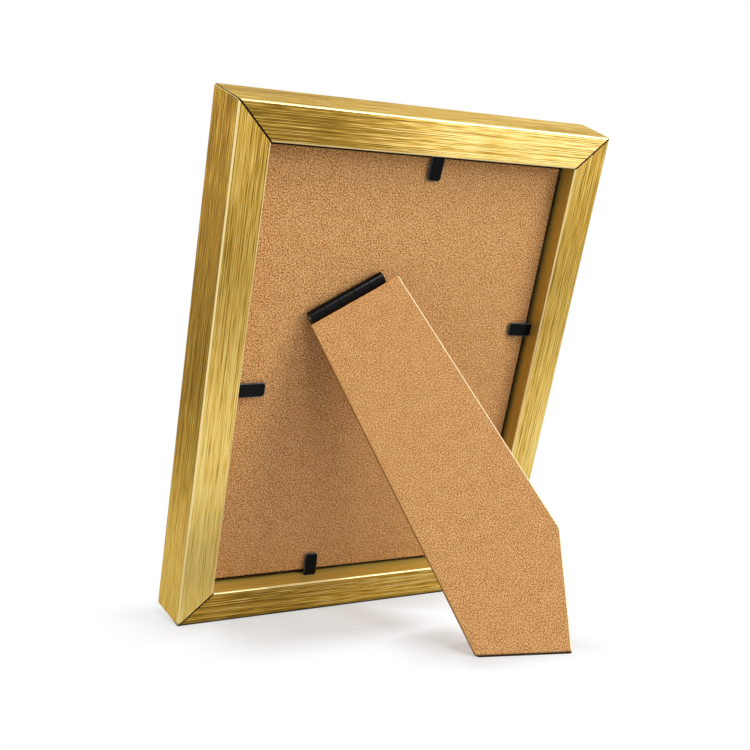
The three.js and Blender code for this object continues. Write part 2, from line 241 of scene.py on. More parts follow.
def painted_sheen_tone(tree, tone, laid, signed, unsigned, ends, tones):
    """The scratches' tone with painted sheen and shade: it shifts from one end of the back to the other, and
    the outer sides are painted lighter low down and darker higher up.

    Fronts are brushed more evenly, so the scratches stand out less there.
    """
    even = {"Value": signed["Y"], "From Min": -0.7, "From Max": -0.3, "To Min": front_scratches, "To Max": 1}
    even = add_node(tree, "MapRange", even).outputs["Result"]
    tone = add_node(tree, "Mix", {0: even, 2: front_tone, 3: tone}, data_type="FLOAT").outputs[0]

    reach = add_node(tree, "SeparateXYZ", {"Vector": laid}).outputs["Y"]
    # Painted sheen and shade along the back, and less of it on the other faces.
    sheen_shift = {"Value": reach, "From Min": ends[0], "From Max": ends[1], "To Min": tones[0], "To Max": tones[1]}
    sheen_shift = add_node(tree, "MapRange", sheen_shift).outputs["Result"]
    back = {"Value": signed["Y"], "From Min": 0.3, "From Max": 0.7, "To Min": sheen_off_the_back, "To Max": 1}
    back = add_node(tree, "MapRange", back).outputs["Result"]
    tone = add_node(tree, "Math", {0: sheen_shift, 1: back, 2: tone}, operation="MULTIPLY_ADD").outputs[0]

    # Painted shade and sheen up the outer sides.
    side = {"Value": unsigned["X"], "From Min": 0.5, "From Max": 0.9}
    side = add_node(tree, "MapRange", side).outputs["Result"]
    side_shade = {"Value": reach, "From Min": side_shade_ends[0], "From Max": side_shade_ends[1]}
    side_shade = side_shade | {"To Min": side_shade_tones[0], "To Max": side_shade_tones[1]}
    side_shade = add_node(tree, "MapRange", side_shade).outputs["Result"]
    return add_node(tree, "Math", {0: side, 1: side_shade, 2: tone}, operation="MULTIPLY_ADD").outputs[0]


def inner_wall(tree, place):
    """1 on faces that look towards the middle of the panel, 0 on all others."""
    inward = {0: panel_middle, 1: place.outputs["Object"]}
    inward = add_node(tree, "VectorMath", inward, operation="SUBTRACT")
    inward = {0: inward.outputs[0], 1: place.outputs["Normal"]}
    inward = add_node(tree, "VectorMath", inward, operation="DOT_PRODUCT")
    inward = {"Value": inward.outputs["Value"], "From Min": inward_reach[0], "From Max": inward_reach[1]}
    return add_node(tree, "MapRange", inward).outputs["Result"]


def mitre_shade(tree, place, unsigned, along):
    """1 where shade is painted at the mitres: on sawn faces, on the eased edges beside them and in a line
    along the flat faces.
    """
    turned = {0: place.outputs["Normal"], 1: along}
    turned = add_node(tree, "VectorMath", turned, operation="DOT_PRODUCT")
    turned = add_node(tree, "Math", {0: turned.outputs["Value"]}, operation="ABSOLUTE").outputs[0]
    eased = add_node(tree, "MapRange", {"Value": turned, "From Min": 0.06, "From Max": 0.2})
    flat = add_node(tree, "MapRange", {"Value": unsigned["Y"], "From Min": 0.2, "From Max": 0.4})
    eased = {0: eased.outputs["Result"], 1: flat.outputs["Result"]}
    eased = add_node(tree, "Math", eased, operation="MULTIPLY").outputs[0]

    sawn = add_node(tree, "MapRange", {"Value": turned, "From Min": 0.6, "From Max": 0.7})
    square = add_node(tree, "MapRange", {"Value": unsigned["Y"], "From Min": 0.15, "From Max": 0.05})
    sawn = {0: sawn.outputs["Result"], 1: square.outputs["Result"]}
    sawn = add_node(tree, "Math", sawn, operation="MULTIPLY").outputs[0]

    level = add_node(tree, "SeparateXYZ", {"Vector": place.outputs["Object"]})
    level = add_node(tree, "Math", {0: level.outputs["X"]}, operation="ABSOLUTE").outputs[0]
    upward = {0: place.outputs["Object"], 1: panel_up}
    upward = add_node(tree, "VectorMath", upward, operation="DOT_PRODUCT")
    upward = add_node(tree, "Math", {0: upward.outputs["Value"], 1: upright_middle}, operation="SUBTRACT")
    upward = add_node(tree, "Math", {0: upward.outputs[0]}, operation="ABSOLUTE")
    upward = add_node(tree, "Math", {0: upward.outputs[0], 1: taller_by}, operation="SUBTRACT").outputs[0]
    line = add_node(tree, "Math", {0: level, 1: upward}, operation="SUBTRACT")
    line = add_node(tree, "Math", {0: line.outputs[0]}, operation="ABSOLUTE").outputs[0]
    line = {"Value": line, "From Min": mitre_shade_line_mm[0] * mm, "From Max": mitre_shade_line_mm[1] * mm}
    line = add_node(tree, "MapRange", line)
    broad = add_node(tree, "MapRange", {"Value": unsigned["Y"], "From Min": 0.5, "From Max": 0.7})
    line = {0: line.outputs["Result"], 1: broad.outputs["Result"]}
    line = add_node(tree, "Math", line, operation="MULTIPLY").outputs[0]

    faces = add_node(tree, "Math", {0: sawn, 1: line}, operation="MAXIMUM").outputs[0]
    return add_node(tree, "Math", {0: eased, 1: faces}, operation="MAXIMUM").outputs[0]


def brushed_gold(name, along, ends, tones, dyes):
    """Gold-anodised aluminium, brushed along one axis of the leaning frame.

    Its scratches catch the light as pale and dark threads. Sheen and shade are painted into its tone along
    the back and up the outer sides, and painted light makes its inner walls paler. Its arrises are pale,
    partly as bare worn metal and partly as painted highlight, and painted shade darkens its mitres and its
    lowest edge, where it stands on the floor. The tone changes from tones[0] to tones[1] between the ends,
    two places along the axis.
    """
    material, tree = new_material(name)
    place = add_node(tree, "TexCoord", {})
    laid = add_node(tree, "UVMap", {}, uv_map="grain").outputs["UV"]
    scratches, tone = brush_marks(tree, laid)
    signed, unsigned = upright_normal(tree, place.outputs["Normal"])
    tone = painted_sheen_tone(tree, tone, laid, signed, unsigned, ends, tones)
    ramp = add_node(tree, "ValToRGB", {"Fac": tone})
    stops = ramp.color_ramp.elements
    stops[0].position, stops[-1].position = dye_tones[0], dye_tones[-1]
    for between in dye_tones[1:-1]:
        stops.new(between)
    for stop, dye in zip(stops, dyes):
        stop.color = linear(dye)

    inward = inner_wall(tree, place)
    # Painted light on the inner walls, which face the middle of the panel.
    thin = {"Value": unsigned["Y"], "From Min": 0.5, "From Max": 0.2, "To Max": inner_light_share}
    thin = add_node(tree, "MapRange", thin)
    thin = add_node(tree, "Math", {0: inward, 1: thin.outputs["Result"]}, operation="MULTIPLY")
    colour = {0: thin.outputs[0], 6: ramp.outputs["Color"], 7: linear(inner_wall_light)}
    colour = add_node(tree, "Mix", colour, data_type="RGBA").outputs[2]

    # Arrises painted pale and made less metallic, partly as worn bare metal and partly as painted highlight.
    largest = add_node(tree, "Math", {0: unsigned["X"], 1: unsigned["Y"]}, operation="MAXIMUM")
    largest = add_node(tree, "Math", {0: largest.outputs[0], 1: unsigned["Z"]}, operation="MAXIMUM")
    arris = {"Value": largest.outputs[0], "From Min": 0.985, "From Max": 0.94}
    arris = add_node(tree, "MapRange", arris).outputs["Result"]
    colour = {0: arris, 6: colour, 7: linear(rubbed_and_highlight_gold)}
    colour = add_node(tree, "Mix", colour, data_type="RGBA").outputs[2]

    # Painted contact shade just above the floor, for the dark line where the rail stands.
    height = add_node(tree, "SeparateXYZ", {"Vector": place.outputs["Object"]}).outputs["Z"]
    contact_shaded = {"Value": height, "From Min": contact_shade_height_mm[0] * mm, "From Max": contact_shade_height_mm[1] * mm}
    contact_shaded = add_node(tree, "MapRange", contact_shaded).outputs["Result"]
    dull = {0: mitre_shade(tree, place, unsigned, along), 1: contact_shaded}
    dull = add_node(tree, "Math", dull, operation="MAXIMUM").outputs[0]
    # Painted shade: mitres and the lowest edge darkened towards near black.
    colour = {0: dull, 6: colour, 7: linear(mitre_and_contact_shade)}
    colour = add_node(tree, "Mix", colour, data_type="RGBA").outputs[2]

    rough = {"Value": scratches, "From Min": 0.3, "From Max": 0.7, "To Min": 0.5, "To Max": 0.38}
    rough = add_node(tree, "MapRange", rough).outputs["Result"]
    rough = add_node(tree, "Mix", {0: arris, 2: rough, 3: 0.25}, data_type="FLOAT").outputs[0]
    bare = add_node(tree, "MapRange", {"Value": inward, "To Min": 0.75, "To Max": 0.35}).outputs["Result"]
    metal = add_node(tree, "Mix", {0: arris, 2: 0.8, 3: bare}, data_type="FLOAT").outputs[0]
    grooves = {"Height": scratches, "Strength": 0.1, "Distance": groove_depth_mm * mm}
    grooves = add_node(tree, "Bump", grooves)
    turn = add_node(tree, "Tangent", {}, direction_type="UV_MAP", uv_map="grain")
    shader = add_node(
        tree,
        "BsdfPrincipled",
        {
            "Base Color": colour,
            "Metallic": metal,
            "Roughness": rough,
            "Specular Tint": linear("#a3935c"),
            "Anisotropic": 0.75,
            "Coat Weight": 0.05,
            "Coat Roughness": 0.4,
            "Coat IOR": 1.6,
            "Tangent": turn.outputs["Tangent"],
            "Normal": grooves.outputs["Normal"],
        },
    )
    add_node(tree, "OutputMaterial", {"Surface": shader.outputs["BSDF"]})
    return material


# Lit and shaded copies of one gold: each rail has its own painted sheen and shade along the back, the top
# rail a paler ramp for a painted highlight and the uprights a warmer one for painted sheen.
dyes = ["#4e360a", "#835f1b", "#c89a36", "#f3d681", "#fff0b8"]
upright_sheen_dyes = ["#4e360a", "#835f1b", "#c89a36", "#f8d068", "#ffe794"]
top_highlight_dyes = ["#5f4716", "#8a6a24", "#c9a349", "#f0d88e", "#fbe7ab"]
gold_top = brushed_gold(
    "brushed_gold_top", panel_across, ends=(-0.005, 0.045), tones=(0.035, -0.16), dyes=top_highlight_dyes
)
gold_bottom = brushed_gold(
    "brushed_gold_bottom", panel_across, ends=(-0.02, 0.05), tones=(-0.005, -0.09), dyes=dyes
)
gold_upright = brushed_gold(
    "brushed_gold_upright", panel_up, ends=(0.05, 0.14), tones=(0.165, 0.045), dyes=upright_sheen_dyes
)
lay_grain(eased_copy("rail_bottom", gold_bottom, rail_edge_mm), panel_across)
lay_grain(eased_copy("rail_top", gold_top, rail_edge_mm), panel_across)
for side in ["left", "right"]:
    lay_grain(eased_copy("rail_" + side, gold_upright, rail_edge_mm), panel_up)


# Corner keys
# Zinc angles, die cast, pressed into the hollows of the two rails that meet at each corner.
# They are out of sight once the frame is together.
key_edge_mm = 0.3
cast_skin_mm = 0.8
cast_skin_depth_mm = 0.05


def die_cast_zinc():
    """Zinc as it comes from the die: a dull grey metal with a faintly mottled, uneven skin."""
    material, tree = new_material("die_cast_zinc")
    place = add_node(tree, "TexCoord", {})
    skin = {"Vector": place.outputs["Object"], "Scale": 1 / (cast_skin_mm * mm), "Detail": 3}
    skin = add_node(tree, "TexNoise", skin).outputs["Fac"]
    ramp = add_node(tree, "ValToRGB", {"Fac": skin})
    ramp.color_ramp.elements[0].color = linear("#8f9090")
    ramp.color_ramp.elements[1].color = linear("#bdbdba")
    bump = add_node(tree, "Bump", {"Height": skin, "Strength": 0.2, "Distance": cast_skin_depth_mm * mm})
    shader = add_node(
        tree,
        "BsdfPrincipled",
        {
            "Base Color": ramp.outputs["Color"],
            "Metallic": 1.0,
            "Roughness": 0.5,
            "Normal": bump.outputs["Normal"],
        },
    )
    add_node(tree, "OutputMaterial", {"Surface": shader.outputs["BSDF"]})
    return material


zinc = die_cast_zinc()
for corner in ["bottom_left", "bottom_right", "top_left", "top_right"]:
    eased_copy("corner_key_" + corner, zinc, key_edge_mm)


# Glazing
# A pane of 2 mm float glass, cut and arrissed, that lies in the rebate behind the front lip.
# It is clear with a faint green cast, and lamps light the print through it.
glass_edge_mm = 0.2
glass_tint = "#fafdfc"


def float_glass():
    """Clear glass that mirrors a little, hardly tinted. Shadow rays pass, so that lamps reach the print."""
    material, tree = new_material("float_glass")
    pane = add_node(
        tree,
        "BsdfPrincipled",
        {"Base Color": linear(glass_tint), "Roughness": 0.0, "IOR": 1.52, "Transmission Weight": 1.0},
    )
    clear = add_node(tree, "BsdfTransparent", {"Color": linear(glass_tint)})
    rays = add_node(tree, "LightPath", {})
    mix = {0: rays.outputs["Is Shadow Ray"], 1: pane.outputs["BSDF"], 2: clear.outputs["BSDF"]}
    mix = add_node(tree, "MixShader", mix)
    add_node(tree, "OutputMaterial", {"Surface": mix.outputs["Shader"]})
    return material


eased_copy("glazing", float_glass(), glass_edge_mm)


# Print
# A bare sheet of matt photo paper, trimmed square and laid behind the glass.
# Its coating is smooth, with a faint tooth that only shows close by.
paper_edge_mm = 0.05
paper_tooth_mm = 0.4
paper_tooth_depth_mm = 0.02


def photo_paper():
    """Warm white paper, matt all over. Its tooth, 0.1 mm on real paper, is drawn at 0.4 mm, to show."""
    material, tree = new_material("photo_paper")
    place = add_node(tree, "TexCoord", {})
    tooth = {"Vector": place.outputs["Object"], "Scale": 1 / (paper_tooth_mm * mm), "Detail": 3}
    tooth = add_node(tree, "TexNoise", tooth).outputs["Fac"]
    ramp = add_node(tree, "ValToRGB", {"Fac": tooth})
    ramp.color_ramp.elements[0].color = linear("#e9e6de")
    ramp.color_ramp.elements[1].color = linear("#f3f1ec")
    bump = add_node(tree, "Bump", {"Height": tooth, "Strength": 0.1, "Distance": paper_tooth_depth_mm * mm})
    shader = add_node(
        tree,
        "BsdfPrincipled",
        {"Base Color": ramp.outputs["Color"], "Roughness": 0.7, "Normal": bump.outputs["Normal"]},
    )
    add_node(tree, "OutputMaterial", {"Surface": shader.outputs["BSDF"]})
    return material


eased_copy("print_sheet", photo_paper(), paper_edge_mm, segments=1)


# Filler card
# Grey-brown pulp card, rolled from waste paper, that packs the rebate between print and back.
# Only its edges can be seen, and only with the back out.
card_edge_mm = 0.3
pulp_mm = 0.6


def pulp_card():
    """Dull card in which darker and paler lumps of pulp show as a soft mottle."""
    material, tree = new_material("pulp_card")
    place = add_node(tree, "TexCoord", {})
    pulp = {"Vector": place.outputs["Object"], "Scale": 1 / (pulp_mm * mm), "Detail": 5}
    pulp = add_node(tree, "TexNoise", pulp)
    ramp = add_node(tree, "ValToRGB", {"Fac": pulp.outputs["Fac"]})
    ramp.color_ramp.elements[0].color = linear("#8d7556")
    ramp.color_ramp.elements[1].color = linear("#c2a681")
    shader = add_node(tree, "BsdfPrincipled", {"Base Color": ramp.outputs["Color"], "Roughness": 0.9})
    add_node(tree, "OutputMaterial", {"Surface": shader.outputs["BSDF"]})
    return material


eased_copy("filler_card", pulp_card(), card_edge_mm)


# Backing board
# A sheet of thin fibreboard, hot pressed from refined wood fibre and left raw, cut to drop into the rebate.
# Its edges and a narrow rim of its face are painted near black, as painted shade in the gap round it. It
# carries the hinge, and the bent tabs hold it in.
board_edge_mm = 0.35
board_fibres_mm = (0.4, 0.62)
mottle_mm = 5
thick_share = 0.45
mottle_share = 0.08
fibre_tones = [0.29, 0.5, 0.71]
fibre_colours = ["#7d3d04", "#c49055", "#ebba84"]
fibre_depth_mm = 0.06
# Arrises away from the highlight side: partly worn, partly painted highlight.
rubbed_and_highlight_fibre = "#e6ab64"
# Painted contact shade where the fibreboard stands on the floor: dark from this height down.
foot_contact_shade = "#2a1a0c"
foot_shade_height_mm = (1.2, 0.7)
# Painted shade in the gap round the board: its cut edges, arrises and a rim of its face go near black.
gap_shade_width_mm = (0.95, 0.6)
painted_gap_shade = "#140c06"


def largest_face(node):
    """The direction that a plate's broad faces look in."""
    return max(frame["nodes"][node].data.polygons, key=lambda face: face.area).normal.copy()


def gap_shade_rim(tree, laid, edges):
    """1 within painted gap shade close to a board's edges, whose low and high corners are given on its grain
    map, and 0 further in.
    """
    low, high = edges
    inset = add_node(tree, "VectorMath", {0: laid, 1: (*((low + high) / 2), 0)}, operation="SUBTRACT")
    inset = add_node(tree, "VectorMath", {0: inset.outputs[0]}, operation="ABSOLUTE")
    half = (*((high - low) / 2), 0)
    inset = add_node(tree, "VectorMath", {0: half, 1: inset.outputs[0]}, operation="SUBTRACT")
    inset = add_node(tree, "SeparateXYZ", {"Vector": inset.outputs[0]}).outputs
    inset = add_node(tree, "Math", {0: inset["X"], 1: inset["Y"]}, operation="MINIMUM").outputs[0]
    rim = {"Value": inset, "From Min": gap_shade_width_mm[0] * mm, "From Max": gap_shade_width_mm[1] * mm}
    return add_node(tree, "MapRange", rim).outputs["Result"]


def raw_fibreboard(name, fibres_mm, broad_side, cut_colour, arris_colour, highlight_side=None, edges=None):
    """Matt tan wood fibre with fine darker and paler flecks, in another colour where its pressed skin is cut.

    Real fibres are about 0.05 mm thick. They are drawn some ten times as thick, so that they show. Arrises
    take arris_colour, or with a highlight side those that face it do, as a painted highlight, and the others
    take a less pale tan, partly worn and partly painted highlight. A board whose edges are given has painted
    shade along them. Close above the floor it is painted dark, as contact shade.
    """
    material, tree = new_material(name)
    place = add_node(tree, "TexCoord", {})
    laid = add_node(tree, "UVMap", {}, uv_map="grain").outputs["UV"]
    layers = []
    for spacing_mm, detail in [(fibres_mm[0], 0), (fibres_mm[1], 0), (mottle_mm, 2)]:
        noise = {"Vector": laid, "Scale": 1 / (spacing_mm * mm), "Detail": detail}
        layers.append(add_node(tree, "TexNoise", noise, noise_dimensions="2D").outputs["Fac"])
    thin, thick, mottle = layers
    fibre = add_node(tree, "Mix", {0: thick_share, 2: thin, 3: thick}, data_type="FLOAT").outputs[0]
    tone = add_node(tree, "Mix", {0: mottle_share, 2: fibre, 3: mottle}, data_type="FLOAT")
    ramp = add_node(tree, "ValToRGB", {"Fac": tone.outputs[0]})
    stops = ramp.color_ramp.elements
    stops[0].position, stops[-1].position = fibre_tones[0], fibre_tones[-1]
    stops.new(fibre_tones[1])
    for stop, fibre_colour in zip(stops, fibre_colours):
        stop.color = linear(fibre_colour)

    turned = {0: place.outputs["Normal"], 1: broad_side}
    turned = add_node(tree, "VectorMath", turned, operation="DOT_PRODUCT")
    turned = add_node(tree, "Math", {0: turned.outputs["Value"]}, operation="ABSOLUTE").outputs[0]
    arris_tone = linear(arris_colour)
    if highlight_side is not None:
        # Painted highlight: arrises that face the highlight side are paler than the rest.
        faces_light = {0: place.outputs["Normal"], 1: highlight_side}
        faces_light = add_node(tree, "VectorMath", faces_light, operation="DOT_PRODUCT")
        faces_light = {"Value": faces_light.outputs["Value"], "From Min": 0.05, "From Max": 0.2}
        faces_light = add_node(tree, "MapRange", faces_light)
        arris_tone = {0: faces_light.outputs["Result"], 6: linear(rubbed_and_highlight_fibre), 7: linear(arris_colour)}
        arris_tone = add_node(tree, "Mix", arris_tone, data_type="RGBA").outputs[2]
    arris = add_node(tree, "MapRange", {"Value": turned, "From Min": 0.97, "From Max": 0.85})
    colour = {0: arris.outputs["Result"], 6: ramp.outputs["Color"], 7: arris_tone}
    colour = add_node(tree, "Mix", colour, data_type="RGBA").outputs[2]
    cut = add_node(tree, "MapRange", {"Value": turned, "From Min": 0.6, "From Max": 0.35})
    colour = {0: cut.outputs["Result"], 6: colour, 7: linear(cut_colour)}
    colour = add_node(tree, "Mix", colour, data_type="RGBA").outputs[2]
    # Painted contact shade close above the floor, for the dark line under the foot.
    height = add_node(tree, "SeparateXYZ", {"Vector": place.outputs["Object"]}).outputs["Z"]
    foot_shaded = {"Value": height, "From Min": foot_shade_height_mm[0] * mm, "From Max": foot_shade_height_mm[1] * mm}
    foot_shaded = add_node(tree, "MapRange", foot_shaded)
    colour = {0: foot_shaded.outputs["Result"], 6: colour, 7: linear(foot_contact_shade)}
    colour = add_node(tree, "Mix", colour, data_type="RGBA").outputs[2]
    # Painted gap shade along the given edges.
    if edges is not None:
        colour = {0: gap_shade_rim(tree, laid, edges), 6: colour, 7: linear(painted_gap_shade)}
        colour = add_node(tree, "Mix", colour, data_type="RGBA").outputs[2]
    bump = add_node(tree, "Bump", {"Height": fibre, "Strength": 0.3, "Distance": fibre_depth_mm * mm})
    shader = add_node(
        tree,
        "BsdfPrincipled",
        {
            "Base Color": colour,
            "Roughness": 0.85,
            "Specular IOR Level": 0.2,
            "Normal": bump.outputs["Normal"],
        },
    )
    add_node(tree, "OutputMaterial", {"Surface": shader.outputs["BSDF"]})
    return material


board_face = largest_face("backing_board")
board_spans = [span_of("backing_board", along) for along in (board_face.cross(panel_up), panel_up)]
board_edges = [Vector(corner) for corner in zip(*board_spans)]
back_board = raw_fibreboard(
    "fibreboard_back", board_fibres_mm, board_face, cut_colour=painted_gap_shade, arris_colour=painted_gap_shade, edges=board_edges
)
lay_grain(eased_copy("backing_board", back_board, board_edge_mm), panel_up)


# Hinge
# Two leaves of pressed sheet steel, stoved satin black, with edges rolled into knuckles.
# They turn on a bright steel pin. Countersunk screws hold one leaf to the board and the other, let in
# flush, to the leg.
leaf_edge_mm = 0.12
pin_edge_mm = 0.15
screw_edge_mm = 0.08
peel_mm = 0.5
peel_depth_mm = 0.01
drawn_mm = 0.3


def black_enamel():
    """Black stove enamel with a faint orange peel in its gloss and a painted grey highlight on eased edges.
    """
    material, tree = new_material("black_enamel")
    place = add_node(tree, "TexCoord", {})
    peel = {"Vector": place.outputs["Object"], "Scale": 1 / (peel_mm * mm), "Detail": 3}
    peel = add_node(tree, "TexNoise", peel).outputs["Fac"]
    ramp = add_node(tree, "ValToRGB", {"Fac": peel})
    ramp.color_ramp.elements[0].color = linear("#020203")
    ramp.color_ramp.elements[1].color = linear("#080809")
    edge = add_node(tree, "Attribute", {}, attribute_name="eased")
    # Painted highlight: eased edges take half of a light grey.
    edge_highlight = add_node(tree, "Math", {0: edge.outputs["Fac"], 1: 0.5}, operation="MULTIPLY")
    colour = {0: edge_highlight.outputs[0], 6: ramp.outputs["Color"], 7: linear("#6a6e75")}
    colour = add_node(tree, "Mix", colour, data_type="RGBA")
    rough = {"Value": peel, "From Min": 0.3, "From Max": 0.7, "To Min": 0.2, "To Max": 0.26}
    rough = add_node(tree, "MapRange", rough)
    bump = add_node(tree, "Bump", {"Height": peel, "Strength": 0.1, "Distance": peel_depth_mm * mm})
    shader = add_node(
        tree,
        "BsdfPrincipled",
        {
            "Base Color": colour.outputs[2],
            "Roughness": rough.outputs["Result"],
            "Specular IOR Level": 0.12,
            "Normal": bump.outputs["Normal"],
        },
    )
    add_node(tree, "OutputMaterial", {"Surface": shader.outputs["BSDF"]})
    return material


def bright_steel():
    """Drawn steel left bare: a light grey metal whose gloss changes a little from place to place."""
    material, tree = new_material("bright_steel")
    place = add_node(tree, "TexCoord", {})
    drawn = {"Vector": place.outputs["Object"], "Scale": 1 / (drawn_mm * mm), "Detail": 2}
    drawn = add_node(tree, "TexNoise", drawn)
    rough = add_node(tree, "MapRange", {"Value": drawn.outputs["Fac"], "To Min": 0.25, "To Max": 0.45})
    shader = add_node(
        tree,
        "BsdfPrincipled",
        {"Base Color": linear("#a9a9a8"), "Metallic": 1.0, "Roughness": rough.outputs["Result"]},
    )
    add_node(tree, "OutputMaterial", {"Surface": shader.outputs["BSDF"]})
    return material


enamel = black_enamel()
steel = bright_steel()
for leaf in ["hinge_board_leaf", "hinge_leg_leaf"]:
    eased_copy(leaf, enamel, leaf_edge_mm)
eased_copy("hinge_pin", steel, pin_edge_mm)
for number in [1, 2]:
    eased_copy(f"hinge_board_screw_{number}", steel, screw_edge_mm)
    eased_copy(f"hinge_leg_screw_{number}", steel, screw_edge_mm)


# Easel leg
# The same raw fibreboard, sawn to a two-way foot: one end for an upright frame, the slanted one for a frame
# on its side. Its sawn edges are browner than its faces. Its arrises are painted pale, most on one side, as
# a painted highlight where the light falls.
leg_edge_mm = 0.22
leg_fibres_mm = (0.34, 0.5)
leg_across = joint_axes["leg_fold"]
leg_board = raw_fibreboard(
    "fibreboard_leg",
    leg_fibres_mm,
    largest_face("easel_leg"),
    cut_colour="#9c6530",
    arris_colour="#ffe9bf",
    highlight_side=-leg_across,
)
lay_grain(eased_copy("easel_leg", leg_board, leg_edge_mm), leg_across)


# Tabs
# Strips of black steel pressed through slots in the rails' inner walls.
# The shank stays in the rail, and the tongue is bent down over the board by hand.
tongue_edge_mm = 0.28
for side in ["bottom", "top", "left", "right"]:
    eased_copy("tab_shank_" + side, enamel, leaf_edge_mm)
    eased_copy("tab_tongue_" + side, enamel, tongue_edge_mm, segments=3)


# Floor
# A white painted table top with a slight gloss, far wider than the picture. It carries painted shadow in
# fixed zones round the frame's rest place, where the lit paint shows with the frame's real soft shadow, and
# is plain white away from them, and metal mirrors it in bright and dim bands.
floor_reach = 6.0
floor_white = "#ecf4fc"
floor_grey = "#5a5a5a"
greying = (0.15, 0.5)
white_left = 0.3
white_beside = (0.09, 0.13)
level_with_back = (-0.03, 0)
paler_past = (-0.06, -0.14)
paler_share = 0.35
mirror_reach = 0.6
mirror_bands = [(-0.6, 0.5), (-0.45, 0.5), (-0.2, 1), (-0.06, 0.9), (-0.01, 0.45), (0.04, 1), (0.09, 1)]
mirror_bands += [(0.16, 0.35), (0.22, 0.35), (0.33, 1), (0.6, 1)]


def background_rays(tree):
    """1 for rays that see the background, straight or in metal and glass, 0 for those that light things.

    A ray that has left a matt surface only lights it, so it counts as one of those.
    """
    rays = add_node(tree, "LightPath", {}).outputs
    seen = {0: rays["Is Camera Ray"], 1: rays["Is Glossy Ray"]}
    seen = add_node(tree, "Math", seen, operation="MAXIMUM")
    seen = {0: seen.outputs[0], 1: rays["Is Transmission Ray"]}
    seen = add_node(tree, "Math", seen, operation="MAXIMUM").outputs[0]
    direct = add_node(tree, "Math", {0: rays["Diffuse Depth"], 1: 0.5}, operation="LESS_THAN").outputs[0]
    return add_node(tree, "Math", {0: seen, 1: direct}, operation="MULTIPLY").outputs[0]


def clear_of_shades(tree, spot, shades):
    """1 on open floor, less within each shade, and rising smoothly over its fade."""
    least = 1.0
    for low, high, core, fade in shades:
        half = [(high.x - low.x) / 2, (high.y - low.y) / 2, 1]
        offset = add_node(tree, "VectorMath", {0: spot, 1: (low + high) / 2}, operation="SUBTRACT")
        offset = add_node(tree, "VectorMath", {0: offset.outputs[0]}, operation="ABSOLUTE")
        offset = add_node(tree, "VectorMath", {0: offset.outputs[0], 1: half}, operation="SUBTRACT")
        offset = add_node(tree, "VectorMath", {0: offset.outputs[0], 1: (0, 0, 0)}, operation="MAXIMUM")
        away = add_node(tree, "VectorMath", {0: offset.outputs[0]}, operation="LENGTH").outputs["Value"]
        share = {"Value": away, "From Min": 0, "From Max": fade, "To Min": core, "To Max": 1}
        share = add_node(tree, "MapRange", share, interpolation_type="SMOOTHSTEP").outputs["Result"]
        least = add_node(tree, "Math", {0: least, 1: share}, operation="MINIMUM").outputs[0]
    return least


def mirrored_floor(tree, sideways, behind):
    """What metal mirrors of the floor: bands along the frame, white beside it, paler past its other side."""
    far = {"Value": behind, "From Min": -mirror_reach, "From Max": mirror_reach}
    far = add_node(tree, "MapRange", far)
    bands = add_node(tree, "ValToRGB", {"Fac": far.outputs["Result"]})
    bands.color_ramp.interpolation = "EASE"
    stops = bands.color_ramp.elements
    for place, level in mirror_bands[1:-1]:
        stops.new((place + mirror_reach) / (2 * mirror_reach))
    for stop, (place, level) in zip(stops, mirror_bands):
        stop.color = (level, level, level, 1)
    beside = {"Value": sideways, "From Min": white_beside[0], "From Max": white_beside[1]}
    beside = add_node(tree, "MapRange", beside)
    level_with = {"Value": behind, "From Min": level_with_back[0], "From Max": level_with_back[1]}
    level_with = add_node(tree, "MapRange", level_with)
    beside = {0: beside.outputs["Result"], 1: level_with.outputs["Result"]}
    beside = add_node(tree, "Math", beside, operation="MULTIPLY")
    past = {"Value": sideways, "From Min": paler_past[0], "From Max": paler_past[1], "To Max": paler_share}
    past = add_node(tree, "MapRange", past)
    whiter = {0: beside.outputs[0], 1: past.outputs["Result"]}
    whiter = add_node(tree, "Math", whiter, operation="MAXIMUM")
    colour = {0: whiter.outputs[0], 6: bands.outputs["Color"], 7: (1, 1, 1, 1)}
    colour = add_node(tree, "Mix", colour, data_type="RGBA")
    return add_node(tree, "Emission", {"Color": colour.outputs[2], "Strength": 1.0}).outputs["Emission"]


